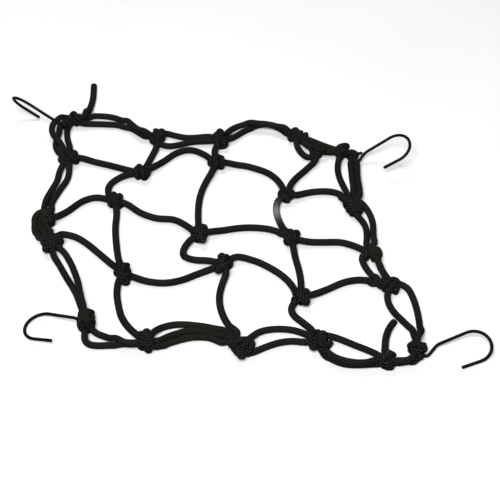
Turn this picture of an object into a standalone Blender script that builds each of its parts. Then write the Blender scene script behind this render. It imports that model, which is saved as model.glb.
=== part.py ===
"""An elastic cargo net with four wire hooks, lying loose on a flat surface.

Lengths in the tables are millimetres and angles are degrees. The middle knot stands at the origin,
+X runs along the near rim to the right, +Y runs away and +Z is up.
"""

import math
from collections import namedtuple

import bpy
from mathutils import Matrix, Vector

MM = 0.001

CORD_RADIUS = 3.2  # to the corners of the six-sided section, which has the area of a 6 mm round
CORD_SIDES = 6
LYING = 3.0  # height of a cord's middle where it lies on the surface
SAMPLE = 2.0  # distance between a curve's points before it is thinned
EASINGS = 4  # how many times a curve's points are averaged with their neighbours
TURN_BETWEEN = 17.0  # how far a cord bends from one section to the next
LONGEST_PIECE = 26.0

KNOT_AROUND = 8
KNOT_ALONG = 7
KNOT_RIDGE = 0.08  # height of a ridge as a share of the knot's half width
KNOT_FLAT = 1.5  # how much of a knot's underside is pressed flat
KNOT_SLANT = 0.12  # how far the turns of a knot lean, as a share of its length
ROUND_POWER = 2.6  # a higher power makes a knot's ends blunter

WIRE_RADIUS = 1.2
WIRE_SIDES = 8
WIRE_GAP = 0.45  # room between a hook's wire and the cord wound on it, at the corners
EYE_LENGTH = 15.0
EYE_WIDTH = 16.0
EYE_CORNER = 3.0  # radius at the ends of the eye's bar
CORNER_PIECES = 4
NECK_LENGTH = 3.0  # where the eye's last side turns into the shank
NECK_STEP = 0.6
SHANK_LENGTH = 26.0
BEND_RADIUS = 14.5
BEND_TURN = 184.0
BEND_PIECES = 12
RETURN_LENGTH = 17.0

Knot = namedtuple("Knot", "x y bearing length width height turns")
KNOTS = {
    "far_left_corner": Knot(-122, 165, 0, 15, 14, 14, 2),
    "far_1": Knot(-42, 138, 60, 17, 15, 14, 2),
    "far_2": Knot(17, 133, 110, 20, 14, 14, 3),
    "far_3": Knot(90, 139, -20, 21, 15, 14, 3),
    "far_3_mesh": Knot(108, 117, 18, 18, 14, 14, 2),
    "far_right_corner": Knot(131, 116, 90, 18, 15, 15, 2),
    "far_right_eye": Knot(140, 110.5, 112, 14, 11, 12, 2),
    "left_1": Knot(-123, 107, 0, 21, 15, 14, 3),
    "mesh_11": Knot(-55, 85, -15, 17, 15, 14, 2),
    "mesh_12": Knot(14, 99, 10, 17, 15, 14, 2),
    "mesh_13": Knot(78, 53, 60, 16, 14, 14, 2),
    "right_1": Knot(137.5, 36, 115, 22, 15, 14, 3),
    "left_2": Knot(-135, 20, 100, 19, 14, 14, 3),
    "mesh_21": Knot(-77, 45, -25, 18, 15, 14, 2),
    "mesh_22": Knot(0, 0, 110, 18, 15, 14, 3),
    "mesh_23": Knot(82, -4, 0, 16, 14, 13, 2),
    "right_2": Knot(151.5, -26, 0, 19, 16, 14, 2),
    "left_3": Knot(-128.5, -12, 45, 21, 17, 14, 3),
    "mesh_31": Knot(-63, -51, 105, 24, 14, 14, 3),
    "mesh_32": Knot(23, -39, 120, 18, 15, 14, 2),
    "mesh_33": Knot(87.5, -81, 0, 17, 15, 14, 2),
    "right_3": Knot(164, -66, -30, 20, 16, 14, 3),
    "near_left_corner": Knot(-91.5, -111, 95, 24, 17, 16, 3),
    "near_1": Knot(-41, -133.5, 90, 23, 15, 14, 3),
    "near_2": Knot(38, -139, -30, 24, 17, 15, 3),
    "near_3": Knot(102, -133, -35, 23, 16, 14, 3),
    "near_right_corner": Knot(157, -156, 80, 19, 15, 14, 2),
    "near_right_eye": Knot(182, -142, 115, 16, 16, 13, 2),
}

# Each hook's place is the point of its eye. Bearing, pitch and roll turn its shank and its plane, and
# the bend opens to the right of the shank, or to the left for side -1. The wire's free end stops short
# of the point by the gap.
Hook = namedtuple("Hook", "x y z bearing pitch roll side gap")
HOOKS = {
    "hook_far_left": Hook(-141, 153, 15, 170, 34.6, 51.5, 1, 3),
    "hook_far_right": Hook(152.5, 110.9, 9, 14.6, 28.7, 5.8, 1, 3),
    "hook_near_left": Hook(-100, -111.5, 11, 156.5, -11.5, -5.4, -1, 3),
    "hook_near_right": Hook(199.4, -137.3, 5.7, 20.8, 10.4, 12.6, 1, 9),
}

# A stretch of cord runs from one knot's middle to another's through the places it was seen to pass:
# x, y, and the height of its middle where it doesn't lie on the surface. With no start it begins at
# its first place, which is beside the middle of a knot.
Stretch = namedtuple("Stretch", "start end via")
STRETCHES = [
    # far rim, left to right
    Stretch("far_left_corner", "far_1", [
        (-114, 170, 5), (-105.5, 173.5, 3.5), (-94.5, 173.5), (-85.5, 171, 3.5), (-76.5, 164, 5),
        (-67, 153.5, 7.5), (-58, 144, 8),
    ]),
    Stretch("far_left_corner", "far_1", [
        (-116, 160.5, 5), (-105, 161.5), (-93.5, 161), (-82, 160), (-72, 157), (-63.5, 151),
        (-55.5, 143, 4),
    ]),
    Stretch(None, "far_2", [
        (-40, 143, 6), (-34, 146, 4), (-26, 143.5), (-14, 140), (-3, 141), (8, 140.5, 4.5),
    ]),
    Stretch(None, "far_2", [
        (-43, 133, 6), (-37, 128, 4), (-29, 127.5), (-20, 130), (-9, 134), (3, 134, 4),
    ]),
    Stretch("far_2", "far_3", [
        (23, 144, 5.5), (29, 153.5, 4), (38.5, 157, 5.5), (49, 156, 8), (59.5, 155.5, 8), (70, 152, 8),
        (79, 147, 7.5),
    ]),
    Stretch("far_2", "far_3", [
        (27, 137.5, 4.5), (34.5, 145.5), (42, 152.5), (50, 158), (57.5, 161), (65.5, 160), (72.5, 155),
        (79, 147, 4.5),
    ]),
    Stretch("far_3", "far_right_corner", [(100, 135, 5), (109, 130.5, 4), (118.5, 124, 4.5)]),
    Stretch("far_3", "far_3_mesh", [(98, 127, 5)]),
    Stretch(None, "far_3", [(108, 112, 5), (103.5, 109.5, 4), (98, 111), (93, 117.5), (89, 126.5, 4.5)]),
    Stretch("far_3_mesh", "far_right_corner", [(118, 116.5, 4.5)]),
    # right rim, far to near
    Stretch("far_right_corner", "right_1", [
        (127, 103, 5), (126, 95.5), (126.5, 86), (128.5, 75.5), (132, 62.5, 3.5),
    ]),
    Stretch("far_right_corner", "far_right_eye", []),
    Stretch("far_right_eye", "right_1", [(144, 98, 6), (143.5, 85, 6.5), (143.5, 72, 6.5), (143.5, 59, 6)]),
    Stretch("far_right_eye", "right_1", [(138.5, 100, 4), (138.5, 88.5), (139, 75.5), (140, 62, 3.5)]),
    Stretch("right_1", "right_2", [
        (140.5, 26, 5), (145, 20.5, 3.5), (148, 12), (148.5, 0.5), (149, -11, 4.5),
    ]),
    Stretch(None, "right_2", [
        (139, 45.5, 6), (144.5, 44.5, 5), (149.5, 37, 4), (153, 27.5), (154.5, 16, 3.5), (154, 3, 4.5),
        (152.5, -10, 6),
    ]),
    Stretch(None, "right_3", [
        (145, -26, 6), (142, -29.5, 4.5), (143.5, -35.5), (146, -43), (149.5, -50), (153, -57, 4),
    ]),
    Stretch(None, "right_3", [
        (156, -24, 6), (156.5, -31, 4.5), (157, -38), (160.5, -48.5, 3.5), (163.5, -58, 5),
    ]),
    Stretch(None, "right_3", [(153, -28, 8), (155, -36, 8.5), (157, -44, 8.5), (160, -53, 7.5)]),
    Stretch("right_3", "near_right_eye", [
        (161.5, -80, 4), (163, -88.5), (167, -98), (172.5, -106.5), (178, -114.5), (182.5, -122, 4),
    ]),
    Stretch(None, "near_right_eye", [
        (168, -63, 6), (174, -64, 5), (179.5, -67, 3.5), (183.5, -79), (185.5, -92), (186.5, -106),
        (186, -120.5, 5.5), (183.5, -130.5, 8),
    ]),
    Stretch(None, "near_right_corner", [
        (186.5, -148.5, 4.5), (182, -151, 3.5), (177, -153.5), (171.5, -154.5), (165.5, -156),
    ]),
    Stretch("near_right_eye", "near_right_corner", [
        (176.5, -156, 8), (170.5, -158.5, 8.5), (164.5, -158.5, 8.5),
    ]),
    # left rim, far to near: two cords go through the eye of the far left hook
    Stretch("far_left_corner", "left_1", [
        (-129.5, 164, 9), (-134.5, 158, 12.5), (-139, 152.5, 13.5), (-142, 148.5, 11), (-142, 143.5, 8.5),
        (-138.5, 135, 8), (-133.5, 127, 6.5), (-128.5, 119.5, 5),
    ]),
    Stretch("far_left_corner", "left_1", [
        (-130, 157.5, 9), (-134.5, 154.5, 9), (-135.5, 150.5, 6), (-136, 144.5, 3.5), (-137.5, 137.5),
        (-137, 128.5), (-133, 117, 3.5),
    ]),
    Stretch("far_left_corner", "left_1", [
        (-128, 155.5, 5), (-128.5, 149), (-127, 137.5), (-123.5, 123.5, 4.5),
    ]),
    Stretch("left_1", "left_2", [
        (-128.7, 95.5, 5), (-130.8, 87.5, 3.5), (-131.6, 77.5), (-134.6, 66.5), (-138, 55.5),
        (-140, 44.5, 3.5),
    ]),
    Stretch("left_1", "left_2", [
        (-122, 94.5, 5), (-121.8, 87, 3.5), (-123.1, 77), (-127.1, 66.5), (-131, 55.5),
        (-134, 44.5, 3.5),
    ]),
    Stretch(None, "left_3", [
        (-134, 30, 6.5), (-143.5, 29.5, 5.5), (-147.3, 24, 4), (-146.2, 14.5), (-141.2, 5),
        (-135, -4, 4.5),
    ]),
    Stretch(None, "left_3", [(-140, 24, 5.5), (-141.5, 17.5, 4.5), (-140, 9, 4), (-135.5, -1.5, 5)]),
    Stretch("left_2", "left_3", [(-135.5, 8.5, 4.5)]),
    Stretch("left_3", "near_left_corner", [
        (-126.5, -26, 4.5), (-120.5, -37), (-114.5, -50), (-108.5, -62), (-103, -73.5), (-99.5, -84),
        (-96.5, -93.5, 4),
    ]),
    Stretch("left_3", "near_left_corner", [
        (-118.5, -21, 4.5), (-112, -32), (-107, -45), (-102.5, -60.5, 5.5), (-99.5, -76, 8.5),
        (-96.5, -89, 9), (-94.5, -97.5, 9),
    ]),
    # near rim, left to right
    Stretch("near_left_corner", "near_1", [
        (-83.5, -122.5, 5), (-78, -125, 4), (-71.5, -129, 5), (-64, -134, 7), (-56, -137.5, 8),
        (-48, -138.5, 9),
    ]),
    Stretch("near_left_corner", "near_1", [
        (-92, -124, 5), (-92, -129), (-89, -134), (-83, -136), (-75.5, -136), (-68, -135), (-59, -134),
        (-49, -134.5, 3.5),
    ]),
    Stretch("near_1", "near_2", [
        (-35, -123, 6), (-29, -116, 4), (-21, -112), (-12, -111), (-2, -112), (8.5, -114), (17.5, -117),
        (26.5, -123.5, 4.5),
    ]),
    Stretch("near_1", "near_2", [
        (-30.5, -133.5, 6), (-23, -125.5), (-15.5, -122), (-8.5, -119), (-1, -118.5), (7.5, -120),
        (16, -122.5), (25, -128, 4.5),
    ]),
    Stretch(None, "near_2", [
        (-40, -137, 6), (-33, -139, 4.5), (-26, -135), (-19.5, -132), (-12, -129), (-4.5, -126.5),
        (2.5, -126), (11, -126.5), (19.5, -128.5), (27, -132.5, 4.5),
    ]),
    Stretch("near_2", "near_3", [
        (46.5, -127.5, 5), (52.5, -120.5, 3.5), (59.5, -117.5), (68, -116.5), (77, -117), (84, -119),
        (91, -123.5, 4),
    ]),
    Stretch(None, "near_3", [
        (37, -145, 5), (45, -145.5, 4), (54.5, -139.5), (62, -135.5), (69, -132.5), (76.5, -131),
        (83.5, -131), (90.5, -133, 4),
    ]),
    Stretch(None, "near_right_corner", [
        (102, -130, 7), (107.5, -127, 6), (113.5, -127, 4.5), (120.5, -129), (128, -133.5), (136, -138),
        (143, -142), (149, -147.5, 4.5),
    ]),
    Stretch("near_3", "near_right_corner", [
        (104, -144.5, 5), (109, -149.5, 3.5), (116.5, -155), (123.5, -157.5), (131.5, -158),
        (140, -157.5), (146.5, -157), (151, -158, 4.5),
    ]),
    Stretch("near_3", "near_right_corner", [
        (103.5, -143, 5.5), (106.5, -147.5, 6), (111.5, -152.5, 7), (117, -156.5, 8), (123, -159, 8.5),
        (131, -161, 8.7), (139.5, -161, 8.8), (146, -158.5, 8.5), (151, -155.5, 7.5),
    ]),
    # mesh, far to near
    Stretch("left_1", "mesh_11", [(-113, 108, 5), (-99, 104), (-85, 99), (-70, 93)]),
    Stretch("mesh_11", "mesh_12", [(-46, 93, 5), (-34, 106), (-24, 117), (-12, 122), (1, 116)]),
    Stretch("mesh_12", "mesh_13", [
        (23, 101, 5), (31.5, 100), (41.5, 98), (51, 94), (60, 89), (68, 81), (73.5, 69, 4.5),
    ]),
    Stretch("mesh_13", "right_1", [
        (86.5, 54, 5), (97, 59.5), (107, 61.5), (117, 61.5), (124.5, 59), (130, 52.5, 4.5),
    ]),
    Stretch("left_2", "mesh_21", [(-128, 24, 5), (-118, 34.5), (-106, 48), (-94, 53)]),
    Stretch("mesh_21", "mesh_22", [(-67, 42.5, 5), (-53, 31.4), (-38, 24), (-22, 22)]),
    Stretch("mesh_22", "mesh_23", [(9, 3.8, 5), (22, 8), (37, 11.2), (52, 11.3), (66, 8)]),
    Stretch("mesh_23", "right_2", [
        (90.5, -8, 5), (101.5, -8), (113, -8), (124.5, -8), (135, -12.5, 3.5),
    ]),
    Stretch("left_3", "mesh_31", [
        (-122.5, 0.8, 5), (-116, 1.8), (-108, -1.7), (-98.5, -9.7), (-88, -21.5), (-77.5, -33.8),
    ]),
    Stretch("mesh_31", "mesh_32", [(-55, -55, 5), (-42, -58.8), (-28, -60.5), (-14, -57), (2, -48)]),
    Stretch("mesh_32", "mesh_33", [(32.5, -29, 5), (47, -31.3), (61, -40.2), (76.5, -56)]),
    Stretch("mesh_33", "right_3", [(98, -77, 5), (112, -68), (126, -59.5), (140, -56.5), (154, -60)]),
    Stretch("far_1", "mesh_11", [(-42, 126, 5), (-46, 114), (-50, 100)]),
    Stretch("mesh_11", "mesh_21", [(-66, 84, 5), (-77, 79), (-84, 68), (-83, 56)]),
    Stretch("mesh_21", "mesh_31", [(-74.6, 32), (-74.6, 12), (-72.5, -10), (-69.2, -31)]),
    Stretch("mesh_31", "near_1", [
        (-67, -57.5, 5), (-68.5, -70.5), (-66.5, -86.5), (-62.5, -103), (-56, -115), (-49, -124.5, 4.5),
    ]),
    Stretch("far_2", "mesh_12", [(12, 118.5, 5)]),
    Stretch("mesh_12", "mesh_22", [(9.5, 86, 5), (3.5, 71), (-0.5, 53), (-1.5, 32)]),
    Stretch("mesh_22", "mesh_32", [(-8, -8, 5), (-13, -17), (-13, -26), (-4, -31), (9, -34, 5)]),
    Stretch("mesh_32", "near_2", [
        (24.5, -50, 5), (21.3, -61.5), (19, -77), (20.3, -92.5), (24.5, -106.5), (30.5, -119.5, 4.5),
    ]),
    Stretch("far_3_mesh", "mesh_13", [
        (105.5, 103.5, 5), (101, 98.5), (94, 89), (87, 80), (82, 69, 4.5),
    ]),
    Stretch("mesh_13", "mesh_23", [(70.5, 47, 5), (68.5, 36), (70.7, 22), (75.5, 8)]),
    Stretch("mesh_23", "mesh_33", [(82.7, -14, 5), (84.5, -28), (87.3, -44), (88.8, -62)]),
    Stretch("mesh_33", "near_3", [
        (82, -87.5, 5), (79.5, -92.5), (81.5, -100), (86.5, -106), (92.5, -113, 3.5), (96.5, -120, 5),
    ]),
    # loose ends: the last place is the cord's cut end
    Stretch(None, None, [
        (-117, 160, 8), (-113.5, 167, 8), (-110, 178, 5.5), (-108.5, 190, 3.5), (-107.5, 200),
        (-107.5, 210), (-108, 223.5),
    ]),
    Stretch("near_right_corner", None, [
        (155.5, -146, 5), (156.5, -136), (157.5, -127), (160, -118.5), (163, -112), (166.5, -107),
    ]),
]


def clear_scene():
    for obj in list(bpy.data.objects):
        bpy.data.objects.remove(obj, do_unlink=True)


def material(name, colour, roughness, metallic):
    made = bpy.data.materials.new(name)
    made.use_nodes = True
    shader = made.node_tree.nodes["Principled BSDF"]
    shader.inputs["Base Color"].default_value = (*colour, 1)
    shader.inputs["Roughness"].default_value = roughness
    shader.inputs["Metallic"].default_value = metallic
    return made


def mesh_object(name, points, faces, collection):
    """An object from points in millimetres."""
    mesh = bpy.data.meshes.new(name)
    mesh.from_pydata([Vector(p) * MM for p in points], [], faces)
    mesh.update()
    obj = bpy.data.objects.new(name, mesh)
    collection.objects.link(obj)
    return obj


def tube(path, radius, sides):
    """Points and faces of a closed bar along a path, with one of its flats turned down."""
    points, faces = [], []
    for i, here in enumerate(path):
        along = (path[min(i + 1, len(path) - 1)] - path[max(i - 1, 0)]).normalized()
        across = along.cross(Vector((0, 0, 1))).normalized()
        upward = across.cross(along)
        for k in range(sides):
            angle = 2 * math.pi * k / sides
            points.append(here + radius * (math.cos(angle) * across + math.sin(angle) * upward))
    for i in range(len(path) - 1):
        for k in range(sides):
            a, b = i * sides + k, i * sides + (k + 1) % sides
            faces.append((a, a + sides, b + sides, b))
    last = (len(path) - 1) * sides
    faces.append(tuple(range(sides)))
    faces.append(tuple(last + k for k in reversed(range(sides))))
    return points, faces


def spline(places):
    """A smooth curve through the places, sampled evenly."""
    before = places[0] * 2 - places[1]
    after = places[-1] * 2 - places[-2]
    ends = [before, *places, after]
    stops = [0.0]
    for a, b in zip(ends, ends[1:]):
        stops.append(stops[-1] + math.sqrt((b - a).length))
    path = [places[0]]
    for i in range(1, len(ends) - 2):
        p, t = ends[i - 1 : i + 3], stops[i - 1 : i + 3]
        count = math.ceil((p[2] - p[1]).length / SAMPLE)
        for n in range(1, count + 1):
            u = t[1] + (t[2] - t[1]) * n / count
            a = [p[k].lerp(p[k + 1], (u - t[k]) / (t[k + 1] - t[k])) for k in range(3)]
            b = [a[k].lerp(a[k + 1], (u - t[k]) / (t[k + 2] - t[k])) for k in range(2)]
            path.append(b[0].lerp(b[1], (u - t[1]) / (t[2] - t[1])))
    return path


def eased(path):
    """Rounds off the tight bends, which a thick cord can't make."""
    for _ in range(EASINGS):
        path = [path[0], *((a + b * 2 + c) / 4 for a, b, c in zip(path, path[1:], path[2:])), path[-1]]
    return path


def thinned(path):
    """Keeps a curve's points where it has bent enough, or has run far enough, since the last."""
    kept = [path[0]]
    heading = path[1] - path[0]
    for here, after in zip(path[1:-1], path[2:]):
        bent = math.degrees(heading.angle(after - here)) > TURN_BETWEEN
        if bent or (here - kept[-1]).length > LONGEST_PIECE:
            kept.append(here)
            heading = after - here
    return [*kept, path[-1]]


def knot_middle(name):
    knot = KNOTS[name]
    return Vector((knot.x, knot.y, knot.height / 2 - KNOT_FLAT))


def cord_path(stretch):
    places = [Vector((*via[:2], via[2] if len(via) > 2 else LYING)) for via in stretch.via]
    if stretch.start:
        places.insert(0, knot_middle(stretch.start))
    if stretch.end:
        places.append(knot_middle(stretch.end))
    path = thinned(eased(spline(places)))
    return [Vector((p.x, p.y, max(p.z, LYING))) for p in path]


def knot_lump(knot):
    """A closed lump with a ridge for each turn of the cord, pressed flat underneath."""
    place = Matrix.Translation((knot.x, knot.y, knot.height / 2 - KNOT_FLAT))
    place = place @ Matrix.Rotation(math.radians(knot.bearing), 4, "Z")
    half = knot.length / 2
    points, faces = [], []
    for i in range(KNOT_ALONG):
        s = -math.cos(math.pi * (i + 0.5) / KNOT_ALONG)
        swell = (1 - abs(s) ** ROUND_POWER) ** 0.5
        swell *= 1 - KNOT_RIDGE * math.cos(math.pi * knot.turns * (s + 1))
        for k in range(KNOT_AROUND):
            angle = 2 * math.pi * (k + 0.5) / KNOT_AROUND
            lean = KNOT_SLANT * knot.length * math.sin(angle) * (1 - abs(s))
            y = knot.width / 2 * swell * math.cos(angle)
            z = knot.height / 2 * swell * math.sin(angle)
            points.append(place @ Vector((s * half + lean, y, z)))
    points += [place @ Vector((-half, 0, 0)), place @ Vector((half, 0, 0))]
    first, last = len(points) - 2, len(points) - 1
    end = (KNOT_ALONG - 1) * KNOT_AROUND
    for k in range(KNOT_AROUND):
        after = (k + 1) % KNOT_AROUND
        faces += [(first, after, k), (last, end + k, end + after)]
        for a in range(0, end, KNOT_AROUND):
            faces.append((a + k, a + after, a + KNOT_AROUND + after, a + KNOT_AROUND + k))
    return [Vector((p.x, p.y, max(p.z, 0))) for p in points], faces


def arc(centre, radius, start, turn, count):
    """Points on an arc in the hook's plane, from the angle start through turn."""
    angles = [math.radians(start + turn * n / count) for n in range(count + 1)]
    return [Vector((centre[0] + radius * math.cos(a), centre[1] + radius * math.sin(a), 0)) for a in angles]


def hook_path(hook, spare=0.0):
    """The wire's middle line: the eye from its free end, the shank, the bend and the return.

    Both ends are made longer by the spare length.
    """
    half = EYE_WIDTH / 2
    slope = math.atan2(half, EYE_LENGTH)
    turned = 90 + math.degrees(slope)
    inner_x = EYE_CORNER - EYE_LENGTH
    inner_y = half - EYE_CORNER * math.tan(math.radians(turned) / 2)
    short = hook.gap - spare
    path = [Vector((-short * math.cos(slope), short * math.sin(slope), 0))]
    path += arc((inner_x, inner_y), EYE_CORNER, 180 - turned, turned, CORNER_PIECES)
    path += arc((inner_x, -inner_y), EYE_CORNER, 180, turned, CORNER_PIECES)
    path += [Vector((-NECK_LENGTH / 2, -NECK_STEP, 0)), Vector((NECK_LENGTH / 2, 0, 0))]
    path += arc((SHANK_LENGTH, -BEND_RADIUS), BEND_RADIUS, 90, -BEND_TURN, BEND_PIECES)
    heading = math.radians(-BEND_TURN)
    path.append(path[-1] + (RETURN_LENGTH + spare) * Vector((math.cos(heading), math.sin(heading), 0)))
    place = Matrix.Translation((hook.x, hook.y, hook.z))
    place = place @ Matrix.Rotation(math.radians(hook.bearing), 4, "Z")
    place = place @ Matrix.Rotation(math.radians(-hook.pitch), 4, "Y")
    place = place @ Matrix.Rotation(math.radians(hook.roll), 4, "X")
    return [place @ Vector((p.x, p.y * hook.side, 0)) for p in path]


def build_net(scene_collection):
    """Every stretch and knot joined into one solid, with room in it for the hooks' eyes."""
    pieces = bpy.data.collections.new("net_pieces")
    rooms = bpy.data.collections.new("eye_rooms")
    for helper in (pieces, rooms):
        scene_collection.children.link(helper)
    for number, stretch in enumerate(STRETCHES):
        mesh_object(f"cord_{number}", *tube(cord_path(stretch), CORD_RADIUS, CORD_SIDES), pieces)
    for name, knot in KNOTS.items():
        mesh_object(f"knot_{name}", *knot_lump(knot), pieces)
    for name, hook in HOOKS.items():
        room = tube(hook_path(hook, WIRE_GAP), WIRE_RADIUS + WIRE_GAP, WIRE_SIDES)
        mesh_object(f"room_{name}", *room, rooms)
    first = pieces.objects["cord_0"]
    net = bpy.data.objects.new("net", first.data.copy())
    scene_collection.objects.link(net)
    bpy.data.objects.remove(first)
    for helper in (*pieces.objects, *rooms.objects):
        helper.hide_render = True
        helper.display_type = "WIRE"
    for name, operation, collection in (("join", "UNION", pieces), ("eyes", "DIFFERENCE", rooms)):
        modifier = net.modifiers.new(name, "BOOLEAN")
        modifier.operation = operation
        modifier.operand_type = "COLLECTION"
        modifier.collection = collection
    return net


def build_hook(name, hook, scene_collection):
    hooked = mesh_object(name, *tube(hook_path(hook), WIRE_RADIUS, WIRE_SIDES), scene_collection)
    hooked.data.shade_smooth()
    return hooked


def main():
    clear_scene()
    scene_collection = bpy.context.scene.collection
    cord_finish = material("black_cord", (0.03, 0.03, 0.032), 0.8, 0.0)
    wire_finish = material("black_dipped_wire", (0.015, 0.015, 0.016), 0.35, 0.0)
    build_net(scene_collection).data.materials.append(cord_finish)
    for name, hook in HOOKS.items():
        build_hook(name, hook, scene_collection).data.materials.append(wire_finish)


main()
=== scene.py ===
"""The looks of an elastic cargo net with four wire hooks, lying loose on a flat surface.

The tables are in millimetres and degrees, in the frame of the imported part: the middle knot stands at
the origin, +X runs along the near rim to the right, +Y runs away and +Z is up.
"""

import math
from collections import namedtuple

import bpy
import numpy as np
from mathutils import Matrix, Vector


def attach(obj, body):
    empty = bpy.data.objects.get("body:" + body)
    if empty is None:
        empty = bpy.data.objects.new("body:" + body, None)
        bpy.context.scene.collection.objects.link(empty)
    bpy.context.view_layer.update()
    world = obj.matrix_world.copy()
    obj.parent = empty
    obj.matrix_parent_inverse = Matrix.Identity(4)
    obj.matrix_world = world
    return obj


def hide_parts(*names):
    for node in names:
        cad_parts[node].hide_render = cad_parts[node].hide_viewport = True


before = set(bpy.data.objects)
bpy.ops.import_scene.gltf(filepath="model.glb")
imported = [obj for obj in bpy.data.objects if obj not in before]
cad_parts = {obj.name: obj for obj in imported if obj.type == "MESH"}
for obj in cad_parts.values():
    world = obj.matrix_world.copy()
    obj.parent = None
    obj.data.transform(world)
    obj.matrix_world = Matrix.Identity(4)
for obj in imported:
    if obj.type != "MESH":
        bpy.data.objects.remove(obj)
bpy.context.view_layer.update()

MM = 0.001

# the cords
MESH_RADIUS = 3.1
RIM_RADIUS = 2.95  # the rim is pulled a little thinner
LYING = 3.1  # height of a cord's middle where it lies on the surface
LOWEST = 0.05  # no point of the net or of a hook is lower
SAMPLE = 2.0  # about the most between a curve's points before it is drawn finely
EASINGS = 4  # how many times a curve's points are averaged with their neighbours
FEWEST_STEPS = 4  # of a curve that is drawn finely
CORD_STEP = 0.7  # about the distance between a cord's rings of points
CORD_SIDES = 28
CUT_ROUNDING = 1.2  # radius at the rim of a cord's cut end

# the plaited sheath
BRAID_RIDGES = 6  # bundles of yarn that run each way round a cord
BRAID_PITCH = 3.2  # length of one bundle along the cord
BRAID_RELIEF = 0.16  # depth of the grooves between the bundles
BRAID_DIP = 0.4  # share of its height that a bundle loses where it goes under the next

# how crossing and bundled cords are kept off each other
TOUCHING = 5.8  # cords whose middles are nearer than this, away from the knots, are pushed apart
PUSHES = 40  # how many times the cords are pushed apart
PUSH_SHARE = 0.35  # share of what is missing that each push makes up
KNOT_REACH = 3.0  # how far past a knot's end its cords are left where they are

# the knots
KNOT_CORD = 2.7  # radius of a cord where it is pulled tight round a knot
KNOT_STEP = 0.8
KNOT_SIDES = 24
KNOT_FLAT = 1.5  # how much of a knot's underside is pressed flat
TURN_PLACES = 8  # places that each wound turn goes through
TURN_TAPER = 0.22  # how much smaller the turns at a knot's ends are
RIDER_PLACES = 7  # places that the crossing turn goes through
RIDER_LIFT = 1.9  # how far the crossing turn lies above the wound ones
RIDER_REACH = 0.8  # share of the wound turns' reach along the knot that it starts and ends at
RIDER_RISES = (150, 175)  # range of the angle round the knot where it comes up
RIDER_FALLS = (5, 35)  # range of the angle round the knot where it goes down
TUCKED_START = -0.5  # share of the wound turns' reach along the knot
TUCKED_END = (-0.4, 0.3, -0.2)  # shares of their reach along, across and up

# the knots' ears
EAR_HEIGHT = 8.0
EAR_STEP = 0.3
EAR_RADIUS = 4.0

# the hooks
WIRE_RADIUS = 1.4
WIRE_ROUNDING = 0.8 * WIRE_RADIUS  # radius at the rim of the wire's ends
WIRE_SIDES = 16
WIRE_STEP = 0.6
EYE_LENGTH = 15.0
EYE_WIDTH = 16.0
EYE_CORNER = 3.0  # radius of the eye's rounded corners
CORNER_PIECES = 8
NECK_LENGTH = 3.0  # where the eye's last side turns into the shank
NECK_STEP = 0.6
SHANK_LENGTH = 26.0
BEND_RADIUS = 14.5
BEND_TURN = 184.0
BEND_PIECES = 40
RETURN_LENGTH = 17.0

Knot = namedtuple("Knot", "x y bearing length width height turns")
KNOTS = {
    "far_left_corner": Knot(-122, 165, 0, 15, 14, 14, 2),
    "far_1": Knot(-42, 138, 60, 17, 15, 14, 2),
    "far_2": Knot(17, 133, 110, 20, 14, 14, 3),
    "far_3": Knot(90, 139, -20, 21, 15, 14, 3),
    "far_3_mesh": Knot(108, 117, 18, 18, 14, 14, 2),
    "far_right_corner": Knot(131, 116, 90, 18, 15, 15, 2),
    "far_right_eye": Knot(140, 110.5, 112, 14, 11, 12, 2),
    "left_1": Knot(-123, 107, 0, 21, 15, 14, 3),
    "mesh_11": Knot(-55, 85, -15, 17, 15, 14, 2),
    "mesh_12": Knot(14, 99, 10, 17, 15, 14, 2),
    "mesh_13": Knot(78, 53, 60, 16, 14, 14, 2),
    "right_1": Knot(137.5, 36, 115, 22, 15, 14, 3),
    "left_2": Knot(-135, 20, 100, 19, 14, 14, 3),
    "mesh_21": Knot(-77, 45, -25, 18, 15, 14, 2),
    "mesh_22": Knot(0, 0, 110, 18, 15, 14, 3),
    "mesh_23": Knot(82, -4, 0, 16, 14, 13, 2),
    "right_2": Knot(151.5, -26, 0, 19, 16, 14, 2),
    "left_3": Knot(-128.5, -12, 45, 21, 17, 14, 3),
    "mesh_31": Knot(-63, -51, 105, 24, 14, 14, 3),
    "mesh_32": Knot(23, -39, 120, 18, 15, 14, 2),
    "mesh_33": Knot(87.5, -81, 0, 17, 15, 14, 2),
    "right_3": Knot(164, -66, -30, 20, 16, 14, 3),
    "near_left_corner": Knot(-91.5, -111, 95, 24, 17, 16, 3),
    "near_1": Knot(-41, -133.5, 90, 23, 15, 14, 3),
    "near_2": Knot(38, -139, -30, 24, 17, 15, 3),
    "near_3": Knot(102, -133, -35, 23, 16, 14, 3),
    "near_right_corner": Knot(157, -156, 80, 19, 15, 14, 2),
    "near_right_eye": Knot(182, -142, 115, 16, 16, 13, 2),
}

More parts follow.
